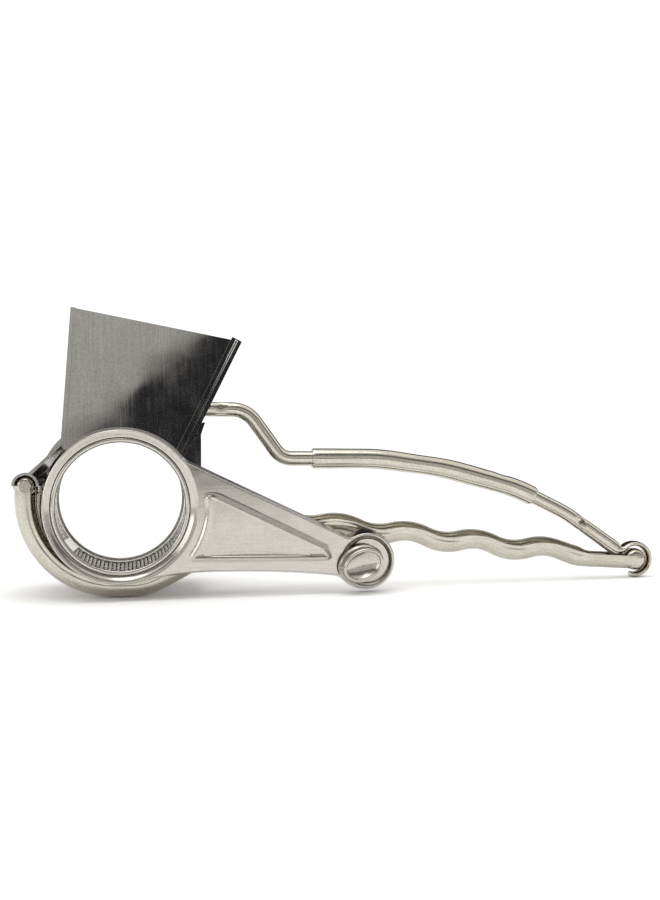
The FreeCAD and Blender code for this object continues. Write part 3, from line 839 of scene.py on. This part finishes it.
# Brightness of the tent from the horizon behind the grater (0) over the top to the horizon in front (1).
TENT = [(0.0, 1.0), (0.06, 0.95), (0.09, 0.02), (0.28, 0.02), (0.32, 1.25), (0.60, 1.15), (0.67, 0.72),
        (0.70, 0.16), (0.78, 0.16), (0.82, 0.60), (0.93, 0.64), (1.0, 0.64)]
FLAG = (0.06, -1.0, 0.0)         # direction of the dark flag's middle
FLOOR_FRONT = -0.9               # the table ends here, behind the camera
FLOOR_HALF = 4.0


def floor():
    """Wide matt white table top at the height that the grater stands on."""
    low = cad_box[0].z
    mesh = bpy.data.meshes.new("table_top")
    corners = [(x, y, low) for x, y in (
        (-FLOOR_HALF, FLOOR_FRONT), (FLOOR_HALF, FLOOR_FRONT),
        (FLOOR_HALF, FLOOR_HALF), (-FLOOR_HALF, FLOOR_HALF),
    )]
    mesh.from_pydata(corners, [], [(0, 1, 2, 3)])
    material = bpy.data.materials.new("matt_white_paper")
    material.use_nodes = True
    tree = material.node_tree
    tree.nodes.clear()
    place = add(tree, "ShaderNodeTexCoord", {}).outputs["Object"]
    pulp = add(tree, "ShaderNodeTexNoise", {"Vector": place, "Scale": per(3.0), "Detail": 3.0})
    colour = add(tree, "ShaderNodeMix", {
        "Factor": pulp.outputs["Fac"], "A": linear("#F4F3F1"), "B": linear("#FAFAF9"),
    }, data_type="RGBA")
    shader = add(tree, "ShaderNodeBsdfDiffuse", {"Color": colour.outputs["Result"]})
    add(tree, "ShaderNodeOutputMaterial", {"Surface": shader.outputs["BSDF"]})
    mesh.materials.append(material)
    thing = bpy.data.objects.new("table_top", mesh)
    bpy.context.scene.collection.objects.link(thing)


def studio_sky():
    """White studio round the object. Metal mirrors a tent: white low behind, a dark gap, a bright ceiling,
    a dark strip and a grey front with one dark flag, cut off on a slant, beside the camera."""
    world = bpy.data.worlds.new("studio")
    bpy.context.scene.world = world
    world.use_nodes = True
    tree = world.node_tree
    tree.nodes.clear()
    place = add(tree, "ShaderNodeTexCoord", {}).outputs["Generated"]
    parts = add(tree, "ShaderNodeSeparateXYZ", {"Vector": place})
    height = add(tree, "ShaderNodeMath", {0: parts.outputs["Z"], 1: 0.0001}, operation="MAXIMUM")
    angle = add(tree, "ShaderNodeMath", {
        0: height.outputs["Value"], 1: parts.outputs["Y"],
    }, operation="ARCTAN2")
    turn = add(tree, "ShaderNodeMapRange", {
        "Value": angle.outputs["Value"], "From Min": 0.0, "From Max": math.pi, "To Min": 0.0, "To Max": 1.0,
    })
    tent = add(tree, "ShaderNodeValToRGB", {"Fac": turn.outputs["Result"]})
    ramp = tent.color_ramp
    while len(ramp.elements) < len(TENT):
        ramp.elements.new(0.5)
    for element, (at, value) in zip(ramp.elements, TENT):
        element.position = at
        element.color = (value, value * 0.985, value * 0.955, 1.0)
    slant = add(tree, "ShaderNodeVectorMath", {0: place, 1: (-0.92, 0.0, 1.0)}, operation="DOT_PRODUCT")
    below = add(tree, "ShaderNodeMapRange", {
        "Value": slant.outputs["Value"], "From Min": 0.024, "From Max": 0.038, "To Min": 1.0, "To Max": 0.0,
    })
    reach = add(tree, "ShaderNodeVectorMath", {0: place, 1: FLAG}, operation="DISTANCE")
    near = add(tree, "ShaderNodeMapRange", {
        "Value": reach.outputs["Value"], "From Min": 0.11, "From Max": 0.15, "To Min": 1.0, "To Max": 0.0,
    })
    shade = add(tree, "ShaderNodeMath", {
        0: below.outputs["Result"], 1: near.outputs["Result"],
    }, operation="MULTIPLY")
    mirrored = add(tree, "ShaderNodeMix", {
        "Factor": shade.outputs["Value"], "A": tent.outputs["Color"], "B": (0.03, 0.03, 0.033, 1.0),
    }, data_type="RGBA")
    paths = add(tree, "ShaderNodeLightPath", {})
    tent_light = add(tree, "ShaderNodeBackground", {"Color": mirrored.outputs["Result"], "Strength": 1.0})
    plain_light = add(tree, "ShaderNodeBackground", {"Color": (1.0, 1.0, 1.0, 1.0), "Strength": 1.12})
    mix = add(tree, "ShaderNodeMixShader", {
        0: paths.outputs["Is Glossy Ray"], 1: plain_light.outputs["Background"],
        2: tent_light.outputs["Background"],
    })
    add(tree, "ShaderNodeOutputWorld", {"Surface": mix.outputs["Shader"]})


def softbox(name, at, aim, size, power):
    """Square soft light."""
    light = bpy.data.lights.new(name, "AREA")
    light.size = size
    light.energy = power
    thing = bpy.data.objects.new(name, light)
    thing.location = at
    thing.rotation_mode = "QUATERNION"
    thing.rotation_quaternion = (Vector(aim) - Vector(at)).to_track_quat("-Z", "Y")
    bpy.context.scene.collection.objects.link(thing)


CAMERA_AT = np.array([1.5, -375.0, 22.0])
CAMERA_AIM = np.array([66.3, 0.0, 16.4])
CAMERA_ROLL = math.radians(1.0)


def camera():
    """Camera near the drum's height, in front of the hopper, rolled a little with the settled frame."""
    at = Vector(row_frame(CAMERA_AT, False))
    aim = Vector(row_frame(CAMERA_AIM, False))
    roll = CAMERA_ROLL
    ahead = (aim - at).normalized()
    right = ahead.cross(Vector((math.sin(roll), 0, math.cos(roll)))).normalized()
    up = right.cross(ahead)
    data = bpy.data.cameras.new("camera")
    data.sensor_width = 36.0
    data.lens = 47.6
    thing = bpy.data.objects.new("camera", data)
    thing.matrix_world = Matrix((
        (right.x, up.x, -ahead.x, at.x), (right.y, up.y, -ahead.y, at.y), (right.z, up.z, -ahead.z, at.z),
        (0, 0, 0, 1),
    ))
    bpy.context.scene.collection.objects.link(thing)
    bpy.context.scene.camera = thing


floor()
studio_sky()
softbox("overhead_box", (-0.15, -0.15, 0.9), (0, 0, 0), 0.7, 2.2)
softbox("left_box", (-0.9, -0.5, 0.35), (0, 0, 0.03), 0.5, 1.2)
camera()
bpy.context.scene.view_settings.view_transform = "Standard"
